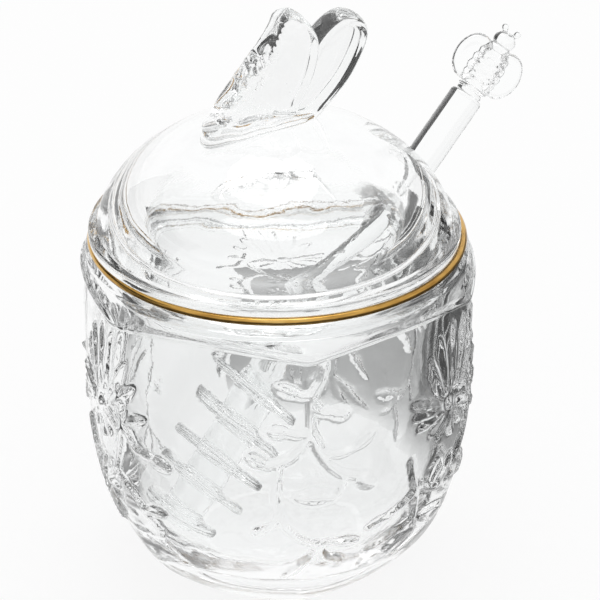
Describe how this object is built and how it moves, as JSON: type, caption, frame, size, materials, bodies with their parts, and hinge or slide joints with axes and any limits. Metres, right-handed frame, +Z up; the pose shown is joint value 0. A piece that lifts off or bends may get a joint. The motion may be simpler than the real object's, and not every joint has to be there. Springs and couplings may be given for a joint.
{
  "type": "honey pot",
  "caption": "Clear pressed glass honey pot with a gilded lip, a loose domed lid with a butterfly knob and a notch, and a glass dipper with a bee on its end.",
  "frame": {"origin": "centre of the jar's flat base, on the jar's axis", "axes": "+Z up along the jar's axis; +X from the axis towards the lid's notch, where the dipper leans out"},
  "size_m": [0.1233, 0.095, 0.1475],
  "materials": {
    "pressed_glass": "clear pressed glass, fire polished",
    "rod_glass": "clear lamp-worked glass",
    "gilding": "fired gold band, glossy"
  },
  "bodies": {
    "jar": {"jar_bowl": "pressed_glass", "rim_gilding": "gilding"},
    "lid": {"lid_dome": "pressed_glass", "knob_foot": "pressed_glass", "butterfly_body": "pressed_glass", "left_forewing": "pressed_glass", "right_forewing": "pressed_glass", "left_hindwing": "pressed_glass", "right_hindwing": "pressed_glass"},
    "dipper": {"dipper_rod": "rod_glass", "dipper_core": "rod_glass", "dipper_disc_1": "rod_glass", "dipper_disc_2": "rod_glass", "dipper_disc_3": "rod_glass", "dipper_disc_4": "rod_glass", "dipper_disc_5": "rod_glass", "bee_body": "rod_glass", "bee_head": "rod_glass", "bee_left_wing": "rod_glass", "bee_right_wing": "rod_glass", "bee_antennae": "rod_glass"}
  },
  "joints": [
    {"name": "lid_lift", "type": "slide", "parent": "jar", "child": "lid", "axis": [0, 0, 1], "range_m": [0, 0.06]},
    {"name": "dipper_draw", "type": "slide", "parent": "jar", "child": "dipper", "axis": [0.7071, 0, 0.7071], "range_m": [0, 0.044]}
  ]
}
